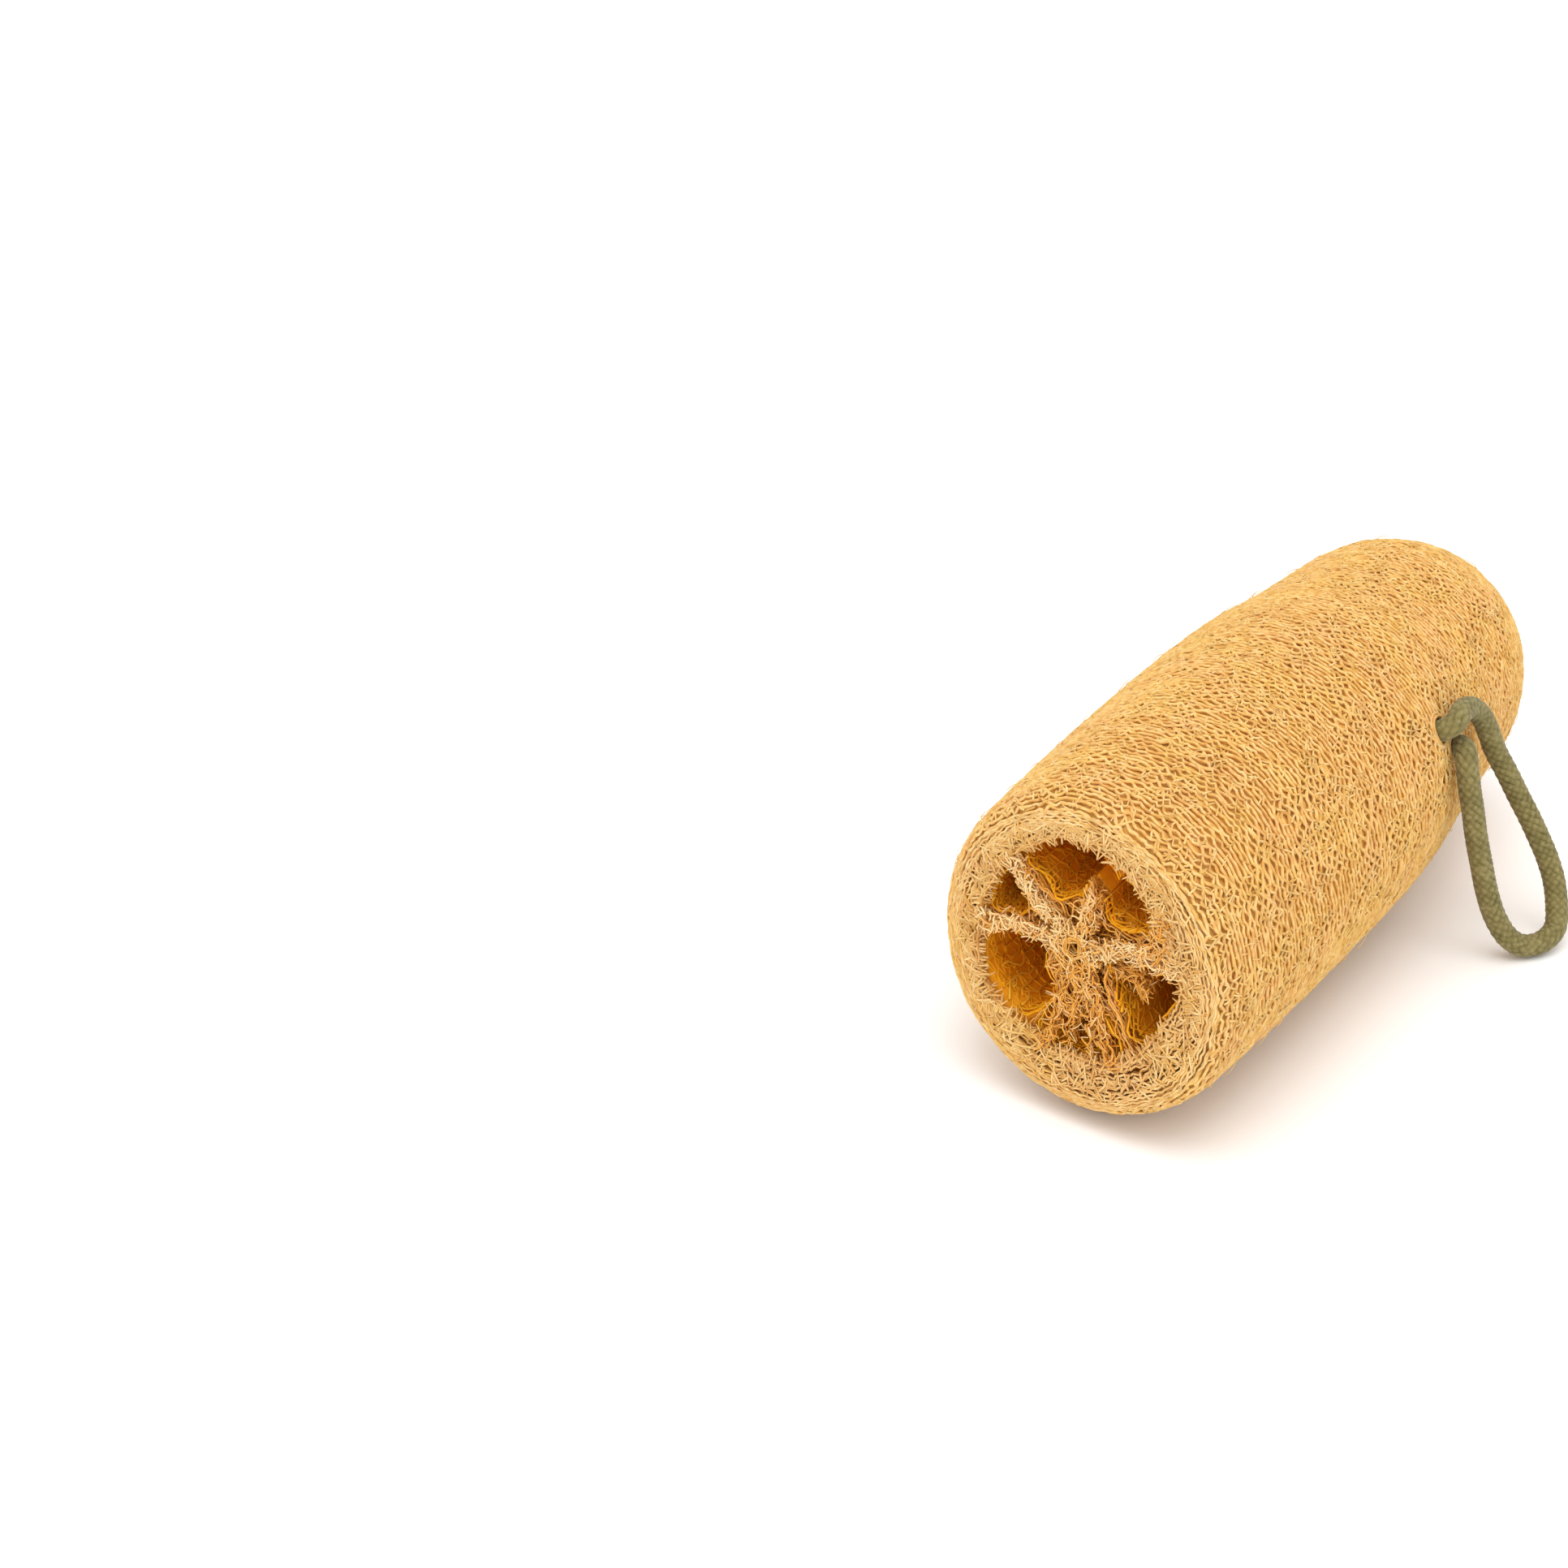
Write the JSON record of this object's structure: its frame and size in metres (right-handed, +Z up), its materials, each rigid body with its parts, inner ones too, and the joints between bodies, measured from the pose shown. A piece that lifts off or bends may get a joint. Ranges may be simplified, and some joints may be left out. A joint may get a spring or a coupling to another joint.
{
  "type": "natural loofah sponge",
  "caption": "Dried gourd fibre sponge with a netted wall, a star core between seed chambers at the cut end, a domed far end and a braided hanging loop.",
  "frame": {"origin": "centre of the sponge's bounding box, on the surface that it lies on", "axes": "+Z up, +Y along the sponge from its cut end to its domed end, +X towards the side that the cord hangs on"},
  "size_m": [0.0838, 0.1698, 0.0627],
  "materials": {
    "loofah_fibre": "dry fibrous matt",
    "braided_cord": "braided matt"
  },
  "bodies": {
    "root": {"sponge": "loofah_fibre", "hanging_cord": "braided_cord", "stopper_knot": "braided_cord"}
  },
  "joints": []
}
